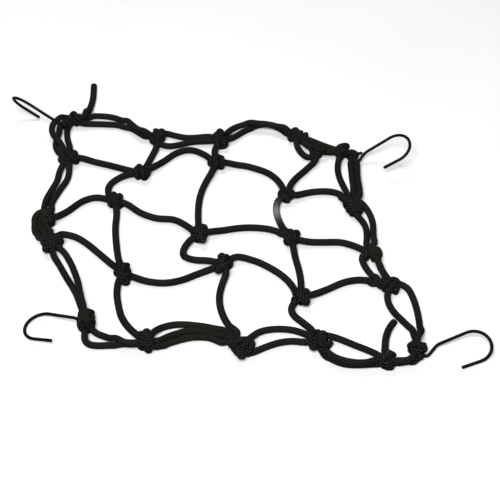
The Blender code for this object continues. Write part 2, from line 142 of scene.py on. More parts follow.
# Where a turn of cord stands out from its knot as an ear: the place of the ear's end.
Ear = namedtuple("Ear", "knot x y")
EARS = [
    Ear("far_1", -36.4, 146.8),
    Ear("far_2", 16.6, 147.1),
    Ear("mesh_12", 20.4, 106.4),
    Ear("mesh_12", 5.7, 96.8),
    Ear("mesh_21", -70.4, 51.6),
    Ear("mesh_32", 19.4, -28.1),
    Ear("mesh_32", 15.8, -51.2),
    Ear("mesh_23", 88.8, 1.5),
    Ear("mesh_23", 76.2, -14.4),
    Ear("mesh_33", 94.2, -90.8),
    Ear("mesh_33", 95.3, -73.8),
    Ear("mesh_22", 6.0, 9.6),
    Ear("mesh_22", 4.3, -11.8),
    Ear("near_1", -40.3, -121.2),
    Ear("near_2", 33.6, -150.1),
    Ear("near_2", 38.1, -154.9),
    Ear("near_3", 107.4, -124.0),
    Ear("near_3", 95.1, -143.8),
    Ear("left_1", -115.9, 113.8),
    Ear("left_1", -132.5, 100.5),
    Ear("left_3", -134.3, -24.2),
    Ear("mesh_31", -72.4, -51.9),
    Ear("far_right_eye", 143.0, 113.8),
]

# Each hook's place is the point of its eye. Bearing, pitch and roll turn its shank and its plane, and
# the bend opens to the right of the shank, or to the left for side -1. The wire's free end stops short
# of the point by the gap.
Hook = namedtuple("Hook", "x y z bearing pitch roll side gap")
HOOKS = {
    "hook_far_left": Hook(-141, 153, 15, 170, 34.6, 51.5, 1, 3),
    "hook_far_right": Hook(152.5, 110.9, 9, 14.6, 28.7, 5.8, 1, 3),
    "hook_near_left": Hook(-100, -111.5, 11, 156.5, -11.5, -5.4, -1, 3),
    "hook_near_right": Hook(199.4, -137.3, 5.7, 20.8, 10.4, 12.6, 1, 9),
}

# A stretch of cord runs from one knot's middle to another's through the places it was seen to pass:
# x, y, and the height of its middle where it doesn't lie on the surface. With no start it begins at
# its first place, which is beside the middle of a knot. With no end it is cut off at its last place.
Stretch = namedtuple("Stretch", "start end via")
STRETCHES = {
    "far_rim": [
        Stretch("far_left_corner", "far_1", [
            (-114, 170, 5), (-105.5, 173.5, 3.5), (-94.5, 173.5), (-85.5, 171, 3.5), (-76.5, 164, 5),
            (-67, 153.5, 7.5), (-58, 144, 8),
        ]),
        Stretch("far_left_corner", "far_1", [
            (-116, 160.5, 5), (-105, 161.5), (-93.5, 161), (-82, 160), (-72, 157), (-63.5, 151),
            (-55.5, 143, 4),
        ]),
        Stretch(None, "far_2", [
            (-40, 143, 6), (-34, 146, 4), (-26, 143.5), (-14, 140), (-3, 141), (8, 140.5, 4.5),
        ]),
        Stretch(None, "far_2", [
            (-43, 133, 6), (-37, 128, 4), (-29, 127.5), (-20, 130), (-9, 134), (3, 134, 4),
        ]),
        Stretch("far_2", "far_3", [
            (23, 144, 5.5), (29, 153.5, 4), (38.5, 157, 5.5), (49, 156, 8), (59.5, 155.5, 8),
            (70, 152, 8), (79, 147, 7.5),
        ]),
        Stretch("far_2", "far_3", [
            (27, 137.5, 4.5), (34.5, 145.5), (42, 152.5), (50, 158), (57.5, 161), (65.5, 160),
            (72.5, 155), (79, 147, 4.5),
        ]),
        Stretch("far_3", "far_right_corner", [(100, 135, 5), (109, 130.5, 4), (118.5, 124, 4.5)]),
        Stretch("far_3", "far_3_mesh", [(98, 127, 5)]),
        Stretch(None, "far_3", [(108, 112, 5), (103.5, 109.5, 4), (98, 111), (93, 117.5), (89, 126.5, 4.5)]),
        Stretch("far_3_mesh", "far_right_corner", [(118, 116.5, 4.5)]),
    ],
    "right_rim": [
        Stretch("far_right_corner", "right_1", [
            (127, 103, 5), (126, 95.5), (126.5, 86), (128.5, 75.5), (132, 62.5, 3.5),
        ]),
        Stretch("far_right_corner", "far_right_eye", []),
        Stretch("far_right_eye", "right_1", [
            (144, 98, 6), (143.5, 85, 6.5), (143.5, 72, 6.5), (143.5, 59, 6),
        ]),
        Stretch("far_right_eye", "right_1", [(138.5, 100, 4), (138.5, 88.5), (139, 75.5), (140, 62, 3.5)]),
        Stretch("right_1", "right_2", [
            (140.5, 26, 5), (145, 20.5, 3.5), (148, 12), (148.5, 0.5), (149, -11, 4.5),
        ]),
        Stretch(None, "right_2", [
            (139, 45.5, 6), (144.5, 44.5, 5), (149.5, 37, 4), (153, 27.5), (154.5, 16, 3.5),
            (154, 3, 4.5), (152.5, -10, 6),
        ]),
        Stretch(None, "right_3", [
            (145, -26, 6), (142, -29.5, 4.5), (143.5, -35.5), (146, -43), (149.5, -50), (153, -57, 4),
        ]),
        Stretch(None, "right_3", [
            (156, -24, 6), (156.5, -31, 4.5), (157, -38), (160.5, -48.5, 3.5), (163.5, -58, 5),
        ]),
        Stretch(None, "right_3", [(153, -28, 8), (155, -36, 8.5), (157, -44, 8.5), (160, -53, 7.5)]),
        Stretch("right_3", "near_right_eye", [
            (161.5, -80, 4), (163, -88.5), (167, -98), (172.5, -106.5), (178, -114.5), (182.5, -122, 4),
        ]),
        Stretch(None, "near_right_eye", [
            (168, -63, 6), (174, -64, 5), (179.5, -67, 3.5), (183.5, -79), (185.5, -92), (186.5, -106),
            (186, -120.5, 5.5), (183.5, -130.5, 8),
        ]),
        Stretch(None, "near_right_corner", [
            (186.5, -148.5, 4.5), (182, -151, 3.5), (177, -153.5), (171.5, -154.5), (165.5, -156),
        ]),
        Stretch("near_right_eye", "near_right_corner", [
            (176.5, -156, 8), (170.5, -158.5, 8.5), (164.5, -158.5, 8.5),
        ]),
    ],
    "left_rim": [
        Stretch("far_left_corner", "left_1", [
            (-129.5, 164, 9), (-134.5, 158, 12.5), (-139, 152.5, 13.5), (-142, 148.5, 11),
            (-142, 143.5, 8.5), (-138.5, 135, 8), (-133.5, 127, 6.5), (-128.5, 119.5, 5),
        ]),
        Stretch("far_left_corner", "left_1", [
            (-130, 157.5, 9), (-134.5, 154.5, 9), (-135.5, 150.5, 6), (-136, 144.5, 3.5), (-137.5, 137.5),
            (-137, 128.5), (-133, 117, 3.5),
        ]),
        Stretch("far_left_corner", "left_1", [
            (-128, 155.5, 5), (-128.5, 149), (-127, 137.5), (-123.5, 123.5, 4.5),
        ]),
        Stretch("left_1", "left_2", [
            (-128.7, 95.5, 5), (-130.8, 87.5, 3.5), (-131.6, 77.5), (-134.6, 66.5), (-138, 55.5),
            (-140, 44.5, 3.5),
        ]),
        Stretch("left_1", "left_2", [
            (-122, 94.5, 5), (-121.8, 87, 3.5), (-123.1, 77), (-127.1, 66.5), (-131, 55.5),
            (-134, 44.5, 3.5),
        ]),
        Stretch(None, "left_3", [
            (-134, 30, 6.5), (-143.5, 29.5, 5.5), (-147.3, 24, 4), (-146.2, 14.5), (-141.2, 5),
            (-135, -4, 4.5),
        ]),
        Stretch(None, "left_3", [(-140, 24, 5.5), (-141.5, 17.5, 4.5), (-140, 9, 4), (-135.5, -1.5, 5)]),
        Stretch("left_2", "left_3", [(-135.5, 8.5, 4.5)]),
        Stretch("left_3", "near_left_corner", [
            (-126.5, -26, 4.5), (-120.5, -37), (-114.5, -50), (-108.5, -62), (-103, -73.5), (-99.5, -84),
            (-96.5, -93.5, 4),
        ]),
        Stretch("left_3", "near_left_corner", [
            (-118.5, -21, 4.5), (-112, -32), (-107, -45), (-102.5, -60.5, 5.5), (-99.5, -76, 8.5),
            (-96.5, -89, 9), (-94.5, -97.5, 9),
        ]),
    ],
    "near_rim": [
        Stretch("near_left_corner", "near_1", [
            (-83.5, -122.5, 5), (-78, -125, 4), (-71.5, -129, 5), (-64, -134, 7), (-56, -137.5, 8),
            (-48, -138.5, 9),
        ]),
        Stretch("near_left_corner", "near_1", [
            (-92, -124, 5), (-92, -129), (-89, -134), (-83, -136), (-75.5, -136), (-68, -135),
            (-59, -134), (-49, -134.5, 3.5),
        ]),
        Stretch("near_1", "near_2", [
            (-35, -123, 6), (-29, -116, 4), (-21, -112), (-12, -111), (-2, -112), (8.5, -114),
            (17.5, -117), (26.5, -123.5, 4.5),
        ]),
        Stretch("near_1", "near_2", [
            (-30.5, -133.5, 6), (-23, -125.5), (-15.5, -122), (-8.5, -119), (-1, -118.5), (7.5, -120),
            (16, -122.5), (25, -128, 4.5),
        ]),
        Stretch(None, "near_2", [
            (-40, -137, 6), (-33, -139, 4.5), (-26, -135), (-19.5, -132), (-12, -129), (-4.5, -126.5),
            (2.5, -126), (11, -126.5), (19.5, -128.5), (27, -132.5, 4.5),
        ]),
        Stretch("near_2", "near_3", [
            (46.5, -127.5, 5), (52.5, -120.5, 3.5), (59.5, -117.5), (68, -116.5), (77, -117), (84, -119),
            (91, -123.5, 4),
        ]),
        Stretch(None, "near_3", [
            (37, -145, 5), (45, -145.5, 4), (54.5, -139.5), (62, -135.5), (69, -132.5), (76.5, -131),
            (83.5, -131), (90.5, -133, 4),
        ]),
        Stretch(None, "near_right_corner", [
            (102, -130, 7), (107.5, -127, 6), (113.5, -127, 4.5), (120.5, -129), (128, -133.5),
            (136, -138), (143, -142), (149, -147.5, 4.5),
        ]),
        Stretch("near_3", "near_right_corner", [
            (104, -144.5, 5), (109, -149.5, 3.5), (116.5, -155), (123.5, -157.5), (131.5, -158),
            (140, -157.5), (146.5, -157), (151, -158, 4.5),
        ]),
        Stretch("near_3", "near_right_corner", [
            (103.5, -143, 5.5), (106.5, -147.5, 6), (111.5, -152.5, 7), (117, -156.5, 8),
            (123, -159, 8.5), (131, -161, 8.7), (139.5, -161, 8.8), (146, -158.5, 8.5),
            (151, -155.5, 7.5),
        ]),
    ],
    "mesh": [
        Stretch("left_1", "mesh_11", [(-113, 108, 5), (-99, 104), (-85, 99), (-70, 93)]),
        Stretch("mesh_11", "mesh_12", [(-46, 93, 5), (-34, 106), (-24, 117), (-12, 122), (1, 116)]),
        Stretch("mesh_12", "mesh_13", [
            (23, 101, 5), (31.5, 100), (41.5, 98), (51, 94), (60, 89), (68, 81), (73.5, 69, 4.5),
        ]),
        Stretch("mesh_13", "right_1", [
            (86.5, 54, 5), (97, 59.5), (107, 61.5), (117, 61.5), (124.5, 59), (130, 52.5, 4.5),
        ]),
        Stretch("left_2", "mesh_21", [(-128, 24, 5), (-118, 34.5), (-106, 48), (-94, 53)]),
        Stretch("mesh_21", "mesh_22", [(-67, 42.5, 5), (-53, 31.4), (-38, 24), (-22, 22)]),
        Stretch("mesh_22", "mesh_23", [(9, 3.8, 5), (22, 8), (37, 11.2), (52, 11.3), (66, 8)]),
        Stretch("mesh_23", "right_2", [
            (90.5, -8, 5), (101.5, -8), (113, -8), (124.5, -8), (135, -12.5, 3.5),
        ]),
        Stretch("left_3", "mesh_31", [
            (-122.5, 0.8, 5), (-116, 1.8), (-108, -1.7), (-98.5, -9.7), (-88, -21.5), (-77.5, -33.8),
        ]),
        Stretch("mesh_31", "mesh_32", [
            (-55, -55, 5), (-42, -58.8), (-28, -60.5), (-14, -57), (2, -48),
        ]),
        Stretch("mesh_32", "mesh_33", [(32.5, -29, 5), (47, -31.3), (61, -40.2), (76.5, -56)]),
        Stretch("mesh_33", "right_3", [
            (98, -77, 5), (112, -68), (126, -59.5), (140, -56.5), (154, -60),
        ]),
        Stretch("far_1", "mesh_11", [(-42, 126, 5), (-46, 114), (-50, 100)]),
        Stretch("mesh_11", "mesh_21", [(-66, 84, 5), (-77, 79), (-84, 68), (-83, 56)]),
        Stretch("mesh_21", "mesh_31", [(-74.6, 32), (-74.6, 12), (-72.5, -10), (-69.2, -31)]),
        Stretch("mesh_31", "near_1", [
            (-67, -57.5, 5), (-68.5, -70.5), (-66.5, -86.5), (-62.5, -103), (-56, -115),
            (-49, -124.5, 4.5),
        ]),
        Stretch("far_2", "mesh_12", [(12, 118.5, 5)]),
        Stretch("mesh_12", "mesh_22", [(9.5, 86, 5), (3.5, 71), (-0.5, 53), (-1.5, 32)]),
        Stretch("mesh_22", "mesh_32", [(-8, -8, 5), (-13, -17), (-13, -26), (-4, -31), (9, -34, 5)]),
        Stretch("mesh_32", "near_2", [
            (24.5, -50, 5), (21.3, -61.5), (19, -77), (20.3, -92.5), (24.5, -106.5),
            (30.5, -119.5, 4.5),
        ]),
        Stretch("far_3_mesh", "mesh_13", [
            (105.5, 103.5, 5), (101, 98.5), (94, 89), (87, 80), (82, 69, 4.5),
        ]),
        Stretch("mesh_13", "mesh_23", [(70.5, 47, 5), (68.5, 36), (70.7, 22), (75.5, 8)]),
        Stretch("mesh_23", "mesh_33", [(82.7, -14, 5), (84.5, -28), (87.3, -44), (88.8, -62)]),
        Stretch("mesh_33", "near_3", [
            (82, -87.5, 5), (79.5, -92.5), (81.5, -100), (86.5, -106), (92.5, -113, 3.5), (96.5, -120, 5),
        ]),
    ],
    "loose_ends": [
        Stretch(None, None, [
            (-117, 160, 8), (-113.5, 167, 8), (-110, 178, 5.5), (-108.5, 190, 3.5), (-107.5, 200),
            (-107.5, 210), (-108, 223.5),
        ]),
        Stretch("near_right_corner", None, [
            (155.5, -146, 5), (156.5, -136), (157.5, -127), (160, -118.5), (163, -112), (166.5, -107),
        ]),
    ],
}

# Where the black has turned olive or has worn pale, fading out round each place.
Patch = namedtuple("Patch", "x y radius strength")
OLIVE_PATCHES = [
    Patch(-106, 196, 22, 0.3),
    Patch(-92, 168, 16, 0.25),
    Patch(-137, 18, 16, 0.4),
    Patch(152, -38, 18, 0.4),
    Patch(-93, -112, 15, 0.4),
    Patch(-5, -124, 30, 0.35),
    Patch(112, 128, 20, 0.3),
]
WORN_PATCHES = [Patch(69, 31, 9, 0.7)]

# linear colours; the cord's groove colour is painted shade between the bundles, and its yarn colour is a
# painted highlight on their tops
CORD_GROOVE_SHADE = (0.0001, 0.0001, 0.0001)
CORD_YARN_HIGHLIGHT = (0.034, 0.034, 0.0344)
CORD_OLIVE = (0.006, 0.0056, 0.002)
CORD_WORN = (0.16, 0.16, 0.155)
WIRE_BLACK = (0.0015, 0.0015, 0.0015)
WIRE_SCUFF = (0.006, 0.006, 0.0062)
FLOOR_PALE = (0.3, 0.3, 0.298)
FLOOR_PALEST = (0.31, 0.31, 0.308)

# surfaces, with depths in metres
YARNS_IN_BUNDLE = 4
YARN_SHARE = 0.2  # how much the single yarns count beside the bundles
YARN_HIGHLIGHT_CONTRAST = 6.0  # how much the painted highlight on the bundles' tops stands out from the painted shade between them
YARN_DEPTH = 0.00012
FUZZ_DEPTH = 0.00006
COATING_DEPTH = 0.00008
NOISE_SPAN = (0.3, 0.7)  # nearly all of a noise lies in it
SCUFF_SPAN = (0.55, 0.75)  # the part of the noise that shows as scuffs

# the studio, in metres
FLOOR_SIZE = 12.0
FLOOR_Z = -0.0002
WORLD_STRENGTH = 0.06
Light = namedtuple("Light", "name place size watts")
LIGHTS = [
    Light("key_softbox", (-0.15, -1.3, 1.6), 0.9, 155),
    Light("overhead_softbox", (-0.3, 1.0, 1.7), 0.9, 45),
    Light("right_softbox", (1.5, -0.2, 1.2), 1.0, 3),
]
SENSOR_WIDTH = 36.0  # millimetres, as the lens is
CAMERA_LENS = 122.76
CAMERA_ELEVATION = 42.0  # degrees above the floor
CAMERA_DISTANCE = 1.5
CAMERA_SIGHT = 20.0
CAMERA_AIM = Vector((0.04507, -0.01534, 0))

SMALLEST = 1e-6  # stands in for nought where a division follows


def spline(places):
    """A smooth curve through the places, with its points at most about a sample apart."""
    before = places[0] * 2 - places[1]
    after = places[-1] * 2 - places[-2]
    ends = [before, *places, after]
    stops = [0.0]
    for a, b in zip(ends, ends[1:]):
        stops.append(stops[-1] + math.sqrt((b - a).length))
    path = [places[0]]
    for i in range(1, len(ends) - 2):
        p, t = ends[i - 1 : i + 3], stops[i - 1 : i + 3]
        count = math.ceil((p[2] - p[1]).length / SAMPLE)
        for n in range(1, count + 1):
            u = t[1] + (t[2] - t[1]) * n / count
            a = [p[k].lerp(p[k + 1], (u - t[k]) / (t[k + 1] - t[k])) for k in range(3)]
            b = [a[k].lerp(a[k + 1], (u - t[k]) / (t[k + 2] - t[k])) for k in range(2)]
            path.append(b[0].lerp(b[1], (u - t[1]) / (t[2] - t[1])))
    return np.array(path)


def eased(path, times):
    """Rounds off the tight bends, which a thick cord can't make."""
    for _ in range(times):
        path = np.vstack([path[:1], (path[:-2] + path[1:-1] * 2 + path[2:]) / 4, path[-1:]])
    return path


def run_along(path):
    """How far along the path each of its points is."""
    return np.concatenate([[0], np.cumsum(np.linalg.norm(np.diff(path, axis=0), axis=1))])


def resampled(path, step):
    """The same curve with its points about a step apart."""
    run = run_along(path)
    at = np.linspace(0, run[-1], max(FEWEST_STEPS, round(run[-1] / step)) + 1)
    fine = np.stack([np.interp(at, run, path[:, axis]) for axis in range(3)], axis=1)
    return eased(fine, EASINGS)


def knot_middle(name):
    knot = KNOTS[name]
    return Vector((knot.x, knot.y, knot.height / 2 - KNOT_FLAT))


def cord_path(stretch):
    """The middle line of a stretch of cord, before it is kept off its neighbours."""
    places = [Vector((*via[:2], via[2] if len(via) > 2 else LYING)) for via in stretch.via]
    if stretch.start:
        places.insert(0, knot_middle(stretch.start))
    if stretch.end:
        places.append(knot_middle(stretch.end))
    path = eased(spline(places), EASINGS)
    path[:, 2] = np.maximum(path[:, 2], LYING)
    return path


def near_a_knot(points):
    """Which points are so near a knot that their cords run together into it."""
    near = np.zeros(len(points), bool)
    for knot in KNOTS.values():
        reach = knot.length / 2 + KNOT_REACH
        near |= np.linalg.norm(points[:, :2] - (knot.x, knot.y), axis=1) < reach
    return near


def close_pairs(points, owner):
    """Pairs of points of different cords that are near enough to come to touch."""
    firsts, seconds = [], []
    for i in range(len(points) - 1):
        apart = np.linalg.norm(points[i + 1 :] - points[i], axis=1)
        near = np.nonzero((apart < 2 * TOUCHING) & (owner[i + 1 :] != owner[i]))[0] + i + 1
        firsts.append(np.full(len(near), i))
        seconds.append(near)
    return np.concatenate(firsts), np.concatenate(seconds)


def kept_apart(paths):
    """Moves the cords of a bundle off each other, so that they lie side by side or on top."""
    owner = np.concatenate([np.full(len(path), number) for number, path in enumerate(paths)])
    points = np.concatenate(paths)
    first, second = close_pairs(points, owner)
    held = near_a_knot(points)
    same = (owner[2:] == owner[1:-1]) & (owner[:-2] == owner[1:-1])
    for _ in range(PUSHES):
        gap = points[first] - points[second]
        apart = np.maximum(np.linalg.norm(gap, axis=1), SMALLEST)
        push = gap * (np.maximum(TOUCHING - apart, 0) / apart * PUSH_SHARE)[:, None]
        move = np.zeros_like(points)
        np.add.at(move, first, push)
        np.add.at(move, second, -push)
        move[held] = 0
        middle = (move[:-2] + 2 * move[1:-1] + move[2:]) / 4
        move[1:-1] = np.where(same[:, None], middle, move[1:-1])
        points = points + move
        points[:, 2] = np.maximum(points[:, 2], LYING)
    return np.split(points, np.cumsum([len(path) for path in paths])[:-1])


def wound_path(knot, number):
    """The cord pulled tight round a knot: its turns, then a crossing turn back over the top."""
    rng = np.random.default_rng(number)
    hand, start = rng.choice((-1, 1)), rng.uniform(0, 2 * math.pi)
    reach = knot.length / 2 - KNOT_CORD
    half_width, half_height = knot.width / 2 - KNOT_CORD, knot.height / 2 - KNOT_CORD
    places = [(reach * TUCKED_START, 0, 0)]
    for t in np.linspace(0, 1, TURN_PLACES * knot.turns + 1):
        swell = 1 - TURN_TAPER * (2 * t - 1) ** 2
        angle = start + hand * 2 * math.pi * knot.turns * t
        y, z = half_width * swell * math.cos(angle), half_height * swell * math.sin(angle)
        places.append((reach * (2 * t - 1), y, z))
    rises, falls = rng.uniform(*RIDER_RISES), rng.uniform(*RIDER_FALLS)
    for t in np.linspace(0, 1, RIDER_PLACES):
        angle = math.radians(rises + (falls - rises) * t)
        lift = RIDER_LIFT * math.sin(math.pi * t) ** 0.5
        y, z = (half_width + lift) * math.cos(angle), (half_height + lift) * math.sin(angle)
        places.append((reach * RIDER_REACH * (1 - 2 * t), y * hand, z))
    along, across, up = TUCKED_END
    places.append((reach * along, half_width * across * hand, half_height * up))
    place = Matrix.Translation((knot.x, knot.y, knot.height / 2 - KNOT_FLAT))
    place = place @ Matrix.Rotation(math.radians(knot.bearing), 4, "Z")
    return spline([place @ Vector(p) for p in places])


def ear_path(ear):
    """A turn of cord that comes out of a knot's middle and ends as its ear."""
    middle = knot_middle(ear.knot)
    end = Vector((ear.x, ear.y, EAR_HEIGHT))
    return spline([middle, middle.lerp(end, 0.5), end])


def arc(centre, radius, start, turn, count):
    """Points on an arc in the hook's plane, from the angle start through turn."""
    x, y = centre
    angles = [math.radians(start + turn * n / count) for n in range(count + 1)]
    return [Vector((x + radius * math.cos(a), y + radius * math.sin(a), 0)) for a in angles]


def hook_path(hook):
    """The wire's middle line: the eye from its free end, the shank, the bend and the return."""
    half = EYE_WIDTH / 2
    slope = math.atan2(half, EYE_LENGTH)
    turned = 90 + math.degrees(slope)
    inner_x = EYE_CORNER - EYE_LENGTH
    inner_y = half - EYE_CORNER * math.tan(math.radians(turned) / 2)
    path = [Vector((-hook.gap * math.cos(slope), hook.gap * math.sin(slope), 0))]
    path += arc((inner_x, inner_y), EYE_CORNER, 180 - turned, turned, CORNER_PIECES)
    path += arc((inner_x, -inner_y), EYE_CORNER, 180, turned, CORNER_PIECES)
    path += [Vector((-NECK_LENGTH / 2, -NECK_STEP, 0)), Vector((NECK_LENGTH / 2, 0, 0))]
    path += arc((SHANK_LENGTH, -BEND_RADIUS), BEND_RADIUS, 90, -BEND_TURN, BEND_PIECES)
    heading = math.radians(-BEND_TURN)
    path.append(path[-1] + RETURN_LENGTH * Vector((math.cos(heading), math.sin(heading), 0)))
    place = Matrix.Translation((hook.x, hook.y, hook.z))
    place = place @ Matrix.Rotation(math.radians(hook.bearing), 4, "Z")
    place = place @ Matrix.Rotation(math.radians(-hook.pitch), 4, "Y")
    place = place @ Matrix.Rotation(math.radians(hook.roll), 4, "X")
    return np.array([place @ Vector((p.x, p.y * hook.side, 0)) for p in path])


def directions_across(path):
    """Two directions across a path at each point, turned as little as possible along it."""
    along = np.gradient(path, axis=0)
    along /= np.linalg.norm(along, axis=1)[:, None]
    side = np.cross(along[0], (0, 0, 1)) + (SMALLEST, 0, 0)
    sides = []
    for heading in along:
        side = side - heading * side.dot(heading)
        side = side / np.linalg.norm(side)
        sides.append(side)
    sides = np.array(sides)
    return sides, np.cross(sides, along)


def braid_height(around, along):
    """Height of the plaited sheath, from 0 between two bundles of yarn to 1 on top of one."""
    one, two = BRAID_RIDGES * around + along, BRAID_RIDGES * around - along
    one_over = (np.floor(one) + np.floor(two)) % 2 < 1
    a, b = np.abs(np.sin(np.pi * one)), np.abs(np.sin(np.pi * two))
    level = 1 - BRAID_DIP
    return np.where(one_over, a * (level + BRAID_DIP * b), b * (level + BRAID_DIP * a))


def ring_radii(run, radius, sides, rounding, relief):
    """How far each point of each ring is from the middle: less at the ends and in the grooves."""
    from_end = np.minimum(run, run[-1] - run)
    inset = rounding - np.sqrt(np.maximum(rounding**2 - np.maximum(rounding - from_end, 0) ** 2, 0))
    around = np.arange(sides) / sides
    groove = relief * (1 - braid_height(around[None], run[:, None] / BRAID_PITCH))
    return (radius - inset)[:, None] - groove


def tube_skin(run, sides):
    """A closed bar's faces and UV map. U runs once round it, and V counts bundles' lengths along it."""
    ring, k = np.meshgrid(np.arange(len(run) - 1), np.arange(sides), indexing="ij")
    a, b = ring * sides + k, ring * sides + (k + 1) % sides
    quads = np.stack([a, a + sides, b + sides, b], axis=-1).reshape(-1, 4)
    last = (len(run) - 1) * sides
    caps = [list(range(sides)), [last + n for n in reversed(range(sides))]]
    along = run / BRAID_PITCH
    u = np.stack([k, k, k + 1, k + 1], axis=-1) / sides
    v = np.stack([along[ring], along[ring + 1], along[ring + 1], along[ring]], axis=-1)
    uv = np.stack([u, v], axis=-1).reshape(-1, 2)
    return quads.tolist() + caps, np.concatenate([uv, np.zeros((2 * sides, 2))])


def tube(path, radius, sides, rounding, relief=0.0):
    """A closed bar along a path, with rounded ends: its points, faces and UV map."""
    run = run_along(path)
    side, upward = directions_across(path)
    angle = 2 * np.pi * (np.arange(sides) / sides)
    outward = np.cos(angle)[None, :, None] * side[:, None] + np.sin(angle)[None, :, None] * upward[:, None]
    points = path[:, None] + ring_radii(run, radius, sides, rounding, relief)[:, :, None] * outward
    points[:, :, 2] = np.maximum(points[:, :, 2], LOWEST)
    return points.reshape(-1, 3), *tube_skin(run, sides)


def patches_at(points, patches):
    """How strongly each point lies in one of the patches, 0 to 1."""
    strength = np.zeros(len(points))
    for patch in patches:
        away = np.linalg.norm(points[:, :2] - (patch.x, patch.y), axis=1) / patch.radius
        strength = np.maximum(strength, patch.strength * np.exp(-(away**2)))
    return strength


def mesh_piece(name, tubes, finish):
    """One mesh object from several tubes given in millimetres."""
    points, faces, uv, first = [], [], [], 0
    for tube_points, tube_faces, tube_uv in tubes:
        faces += [[first + corner for corner in face] for face in tube_faces]
        points.append(tube_points)
        uv.append(tube_uv)
        first += len(tube_points)
    points, uv = np.concatenate(points), np.concatenate(uv)
    mesh = bpy.data.meshes.new(name)
    mesh.from_pydata((points * MM).tolist(), [], faces)
    mesh.update()
    layer = mesh.uv_layers.new(name="sheath")
    layer.uv.foreach_set("vector", uv.astype(np.float32).ravel())
    for mark, patches in (("olive", OLIVE_PATCHES), ("worn", WORN_PATCHES)):
        values = mesh.attributes.new(mark, "FLOAT", "POINT")
        values.data.foreach_set("value", patches_at(points, patches).astype(np.float32))
    mesh.shade_smooth()
    mesh.materials.append(finish)
    piece = bpy.data.objects.new(name, mesh)
    bpy.context.scene.collection.objects.link(piece)
    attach(piece, "root")
    return piece


def plug(tree, value, socket):
    """Gives a socket a number or a colour, or links another node's result to it."""
    if isinstance(value, bpy.types.NodeSocket):
        tree.links.new(value, socket)
    else:
        socket.default_value = value


def calc(tree, operation, *values):
    """The result of a Math node, given numbers or other nodes' results."""
    node = tree.nodes.new("ShaderNodeMath")
    node.operation = operation
    for value, socket in zip(values, node.inputs):
        plug(tree, value, socket)
    return node.outputs[0]


def mixed(tree, share, one, other):
    """A colour between two, by a share from 0 to 1."""
    node = tree.nodes.new("ShaderNodeMix")
    node.data_type = "RGBA"
    plug(tree, share, node.inputs["Factor"])
    colour_inputs = [socket for socket in node.inputs if socket.type == "RGBA"]
    for value, socket in zip((one, other), colour_inputs):
        plug(tree, (*value, 1) if isinstance(value, tuple) else value, socket)
    return next(socket for socket in node.outputs if socket.type == "RGBA")


def noise(tree, scale, detail=2.0, roughness=0.5):
    """Noise in the object's own place, with its scale in lumps to the metre."""
    place = tree.nodes.new("ShaderNodeTexCoord")
    node = tree.nodes.new("ShaderNodeTexNoise")
    tree.links.new(place.outputs["Object"], node.inputs["Vector"])
    node.inputs["Scale"].default_value = scale
    node.inputs["Detail"].default_value = detail
    node.inputs["Roughness"].default_value = roughness
    return node.outputs["Fac"]


def ranged(tree, value, low, high, to_low, to_high):
    """A number moved from one range into another, and held inside it."""
    node = tree.nodes.new("ShaderNodeMapRange")
    for number, given in enumerate((value, low, high, to_low, to_high)):
        plug(tree, given, node.inputs[number])
    return node.outputs[0]


def uneven(tree, scale, detail, least, most):
    """A number that wanders from place to place between the least and the most."""
    return ranged(tree, noise(tree, scale, detail), *NOISE_SPAN, least, most)


def bump(tree, height, depth, strength, before=None):
    """A normal raised by a height from 0 to 1, on top of what was raised before."""
    node = tree.nodes.new("ShaderNodeBump")
    node.inputs["Strength"].default_value = strength
    node.inputs["Distance"].default_value = depth
    tree.links.new(height, node.inputs["Height"])
    if before:
        tree.links.new(before, node.inputs["Normal"])
    return node.outputs[0]


def new_material(name, roughness, specular):
    made = bpy.data.materials.new(name)
    made.use_nodes = True
    shader = made.node_tree.nodes["Principled BSDF"]
    shader.inputs["Roughness"].default_value = roughness
    shader.inputs["Specular IOR Level"].default_value = specular
    return made, made.node_tree, shader


def sheath_pattern(tree):
    """The plait and the fine yarns of each bundle, as two heights from 0 to 1."""
    uv = tree.nodes.new("ShaderNodeUVMap")
    uv.uv_map = "sheath"
    split = tree.nodes.new("ShaderNodeSeparateXYZ")
    tree.links.new(uv.outputs["UV"], split.inputs[0])
    around = calc(tree, "MULTIPLY", split.outputs["X"], BRAID_RIDGES)
    one = calc(tree, "ADD", around, split.outputs["Y"])
    two = calc(tree, "SUBTRACT", around, split.outputs["Y"])
    count = calc(tree, "ADD", calc(tree, "FLOOR", one), calc(tree, "FLOOR", two))
    second_over = calc(tree, "FLOORED_MODULO", count, 2.0)
    a = calc(tree, "ABSOLUTE", calc(tree, "SINE", calc(tree, "MULTIPLY", one, math.pi)))
    b = calc(tree, "ABSOLUTE", calc(tree, "SINE", calc(tree, "MULTIPLY", two, math.pi)))
    one_over = calc(tree, "MULTIPLY", a, calc(tree, "MULTIPLY_ADD", b, BRAID_DIP, 1 - BRAID_DIP))
    two_over = calc(tree, "MULTIPLY", b, calc(tree, "MULTIPLY_ADD", a, BRAID_DIP, 1 - BRAID_DIP))
    plait = ranged(tree, second_over, 0.0, 1.0, one_over, two_over)
    along = ranged(tree, second_over, 0.0, 1.0, one, two)
    yarns = calc(tree, "SINE", calc(tree, "MULTIPLY", along, 2 * math.pi * YARNS_IN_BUNDLE))
    return plait, calc(tree, "MULTIPLY_ADD", yarns, 0.5, 0.5)


def attribute(tree, name):
    node = tree.nodes.new("ShaderNodeAttribute")
    node.attribute_name = name
    return node.outputs["Fac"]


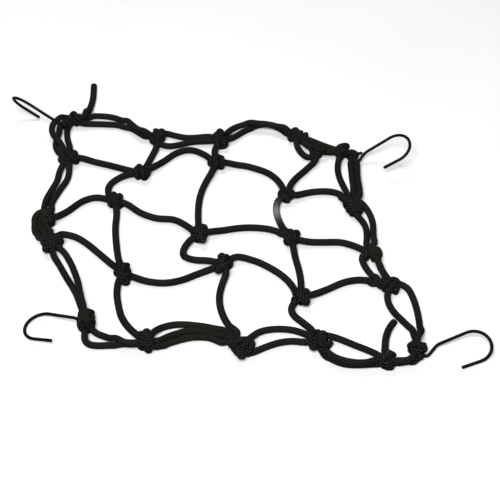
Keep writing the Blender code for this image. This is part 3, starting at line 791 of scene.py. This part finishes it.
def cord_colour(tree, raised):
    """Painted highlights on the bundles' tops over painted shade between them, a little faded, with the
    olive patches and the worn one.
    """
    # painted highlight on the tops of the bundles, painted shade in the grooves between them
    tops = calc(tree, "POWER", raised, YARN_HIGHLIGHT_CONTRAST)
    fading = uneven(tree, scale=22, detail=3, least=0.8, most=1.15)
    colour = mixed(tree, calc(tree, "MULTIPLY", tops, fading), CORD_GROOVE_SHADE, CORD_YARN_HIGHLIGHT)
    blotches = uneven(tree, scale=90, detail=2, least=0.5, most=1.0)
    olive = calc(tree, "MULTIPLY", attribute(tree, "olive"), blotches)
    colour = mixed(tree, olive, colour, CORD_OLIVE)
    worn = calc(tree, "MULTIPLY", attribute(tree, "worn"), raised)
    return mixed(tree, worn, colour, CORD_WORN)


def cord_material():
    """Dull black yarn plaited over rubber, with painted shade between the bundles and a painted highlight on
    their tops.
    """
    made, tree, shader = new_material("black_braided_cord", roughness=0.7, specular=0.01)
    plait, yarns = sheath_pattern(tree)
    bundles = calc(tree, "MULTIPLY", plait, 1 - YARN_SHARE)
    raised = calc(tree, "MULTIPLY_ADD", yarns, YARN_SHARE, bundles)
    tree.links.new(cord_colour(tree, raised), shader.inputs["Base Color"])
    fuzz = bump(tree, noise(tree, scale=2600), FUZZ_DEPTH, strength=0.5)
    tree.links.new(bump(tree, raised, YARN_DEPTH, strength=0.6, before=fuzz), shader.inputs["Normal"])
    return made


def wire_material():
    """Steel wire dipped in a thin black coating, slightly uneven and scuffed."""
    made, tree, shader = new_material("black_dipped_wire", roughness=0.45, specular=0.02)
    blotches = noise(tree, scale=320, detail=4, roughness=0.65)
    scuffs = ranged(tree, blotches, *SCUFF_SPAN, 0.0, 1.0)
    tree.links.new(mixed(tree, scuffs, WIRE_BLACK, WIRE_SCUFF), shader.inputs["Base Color"])
    dullness = uneven(tree, scale=180, detail=3, least=0.38, most=0.55)
    tree.links.new(dullness, shader.inputs["Roughness"])
    coating = bump(tree, noise(tree, scale=700), COATING_DEPTH, strength=0.5)
    tree.links.new(coating, shader.inputs["Normal"])
    return made


def floor_material():
    made, tree, shader = new_material("pale_floor", roughness=0.85, specular=0.2)
    shade = uneven(tree, scale=6, detail=2, least=0.0, most=1.0)
    tree.links.new(mixed(tree, shade, FLOOR_PALE, FLOOR_PALEST), shader.inputs["Base Color"])
    return made


def build_cords(finish):
    """A piece for each side of the rim, one for the mesh and one for the loose ends."""
    rough = {side: [cord_path(stretch) for stretch in rows] for side, rows in STRETCHES.items()}
    apart = iter(kept_apart([path for paths in rough.values() for path in paths]))
    for side, paths in rough.items():
        tubes = []
        radius = RIM_RADIUS if side.endswith("_rim") else MESH_RADIUS
        for _ in paths:
            path = resampled(next(apart), CORD_STEP)
            tubes.append(tube(path, radius, CORD_SIDES, CUT_ROUNDING, BRAID_RELIEF))
        piece = mesh_piece(side, tubes, finish)
        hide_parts("net")


def build_knots(finish):
    """A piece for the knots of each side and one for those of the mesh, with their ears."""
    sides = {}
    for number, (name, knot) in enumerate(KNOTS.items()):
        path = resampled(wound_path(knot, number), KNOT_STEP)
        made = tube(path, KNOT_CORD, KNOT_SIDES, CUT_ROUNDING, BRAID_RELIEF)
        sides.setdefault(name.split("_")[0], []).append(made)
    for ear in EARS:
        path = resampled(ear_path(ear), EAR_STEP)
        made = tube(path, EAR_RADIUS, KNOT_SIDES, EAR_RADIUS, BRAID_RELIEF)
        sides[ear.knot.split("_")[0]].append(made)
    for side, tubes in sides.items():
        piece = mesh_piece(f"{side}_knots", tubes, finish)
        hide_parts("net")


def build_hooks(finish):
    for name, hook in HOOKS.items():
        path = resampled(hook_path(hook), WIRE_STEP)
        wire = tube(path, WIRE_RADIUS, WIRE_SIDES, WIRE_ROUNDING)
        piece = mesh_piece(f"{name}_wire", [wire], finish)
        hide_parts(name)


def build_floor():
    half = FLOOR_SIZE / 2
    signs = ((-1, -1), (1, -1), (1, 1), (-1, 1))
    corners = [(half * x, half * y, FLOOR_Z) for x, y in signs]
    mesh = bpy.data.meshes.new("floor")
    mesh.from_pydata(corners, [], [(0, 1, 2, 3)])
    mesh.materials.append(floor_material())
    floor = bpy.data.objects.new("floor", mesh)
    bpy.context.scene.collection.objects.link(floor)


def add_light(light):
    lamp = bpy.data.lights.new(light.name, "AREA")
    lamp.shape = "SQUARE"
    lamp.size = light.size
    lamp.energy = light.watts
    stand = bpy.data.objects.new(light.name, lamp)
    stand.location = light.place
    stand.rotation_euler = (CAMERA_AIM - Vector(light.place)).to_track_quat("-Z", "Y").to_euler()
    bpy.context.scene.collection.objects.link(stand)


def light_studio():
    world = bpy.data.worlds.new("studio")
    world.use_nodes = True
    background = world.node_tree.nodes["Background"]
    background.inputs["Color"].default_value = (1, 1, 1, 1)
    background.inputs["Strength"].default_value = WORLD_STRENGTH
    bpy.context.scene.world = world
    bpy.context.scene.view_settings.view_transform = "Standard"
    for light in LIGHTS:
        add_light(light)


def place_camera():
    camera = bpy.data.cameras.new("camera")
    camera.sensor_width = SENSOR_WIDTH
    camera.lens = CAMERA_LENS
    camera.clip_end = CAMERA_SIGHT
    eye = bpy.data.objects.new("camera", camera)
    tilt = math.radians(CAMERA_ELEVATION)
    toward = Vector((0, math.cos(tilt), -math.sin(tilt)))
    eye.location = CAMERA_AIM - toward * CAMERA_DISTANCE
    eye.rotation_euler = toward.to_track_quat("-Z", "Y").to_euler()
    bpy.context.scene.collection.objects.link(eye)
    bpy.context.scene.camera = eye


place_camera()
light_studio()
build_floor()
cord = cord_material()
build_cords(cord)
build_knots(cord)
build_hooks(wire_material())
